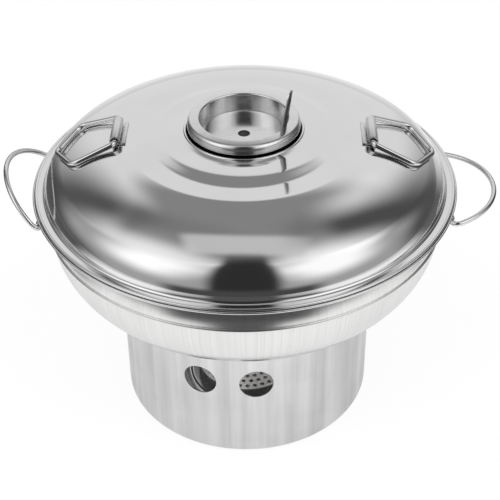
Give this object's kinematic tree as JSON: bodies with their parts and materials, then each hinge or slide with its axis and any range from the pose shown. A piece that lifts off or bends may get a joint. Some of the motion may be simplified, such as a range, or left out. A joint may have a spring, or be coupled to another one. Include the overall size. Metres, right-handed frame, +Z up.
{
  "type": "chimney hot pot",
  "caption": "Stainless steel hot pot with a ring-shaped bowl round a fire chimney, a domed lift-off lid with drop handles, a damper cap and a fire stand.",
  "frame": {"origin": "middle of the stand's underside, on the table", "axes": "+Z up, +X to the right handle as seen in the picture, -Y towards the viewer"},
  "size_m": [0.3491, 0.3, 0.2634],
  "materials": {
    "polished_steel": "mirror polished",
    "brushed_steel": "finely brushed",
    "satin_steel": "satin",
    "wire_steel": "bright drawn",
    "burner_steel": "dull"
  },
  "bodies": {
    "stand": {"stand_shell": "satin_steel", "burner_dish": "burner_steel", "burner_gauze": "burner_steel"},
    "pot": {"pot_bowl": "brushed_steel", "chimney_tube": "satin_steel", "left_front_lug": "wire_steel", "left_rear_lug": "wire_steel", "right_front_lug": "wire_steel", "right_rear_lug": "wire_steel"},
    "left_side_handle": {"left_side_handle": "wire_steel"},
    "right_side_handle": {"right_side_handle": "wire_steel"},
    "lid": {"lid_shell": "polished_steel", "left_lid_strap": "wire_steel", "right_lid_strap": "wire_steel"},
    "left_lid_handle": {"left_lid_handle": "wire_steel"},
    "right_lid_handle": {"right_lid_handle": "wire_steel"},
    "cap": {"chimney_cap": "polished_steel", "cap_tab": "wire_steel"}
  },
  "joints": [
    {"name": "pot_lift", "type": "slide", "parent": "stand", "child": "pot", "axis": [0, 0, 1], "range_m": [0, 0.12]},
    {"name": "lid_lift", "type": "slide", "parent": "pot", "child": "lid", "axis": [0, 0, 1], "range_m": [0, 0.12]},
    {"name": "cap_lift", "type": "slide", "parent": "pot", "child": "cap", "axis": [0, 0, 1], "range_m": [0, 0.06]},
    {"name": "left_lid_handle_swing", "type": "hinge", "parent": "lid", "child": "left_lid_handle", "pos_m": [-0.08847, 0.00232, 0.22097], "axis": [0.0262, 0.9997, 0], "range_deg": [0, 192]},
    {"name": "right_lid_handle_swing", "type": "hinge", "parent": "lid", "child": "right_lid_handle", "pos_m": [0.08847, -0.00232, 0.22097], "axis": [-0.0262, -0.9997, 0], "range_deg": [0, 192]},
    {"name": "left_side_handle_swing", "type": "hinge", "parent": "pot", "child": "left_side_handle", "pos_m": [-0.1425, 0, 0.17035], "axis": [0, 1, 0], "range_deg": [-130, 18]},
    {"name": "right_side_handle_swing", "type": "hinge", "parent": "pot", "child": "right_side_handle", "pos_m": [0.1425, 0, 0.17035], "axis": [0, -1, 0], "range_deg": [-89.5, 58.5]}
  ]
}
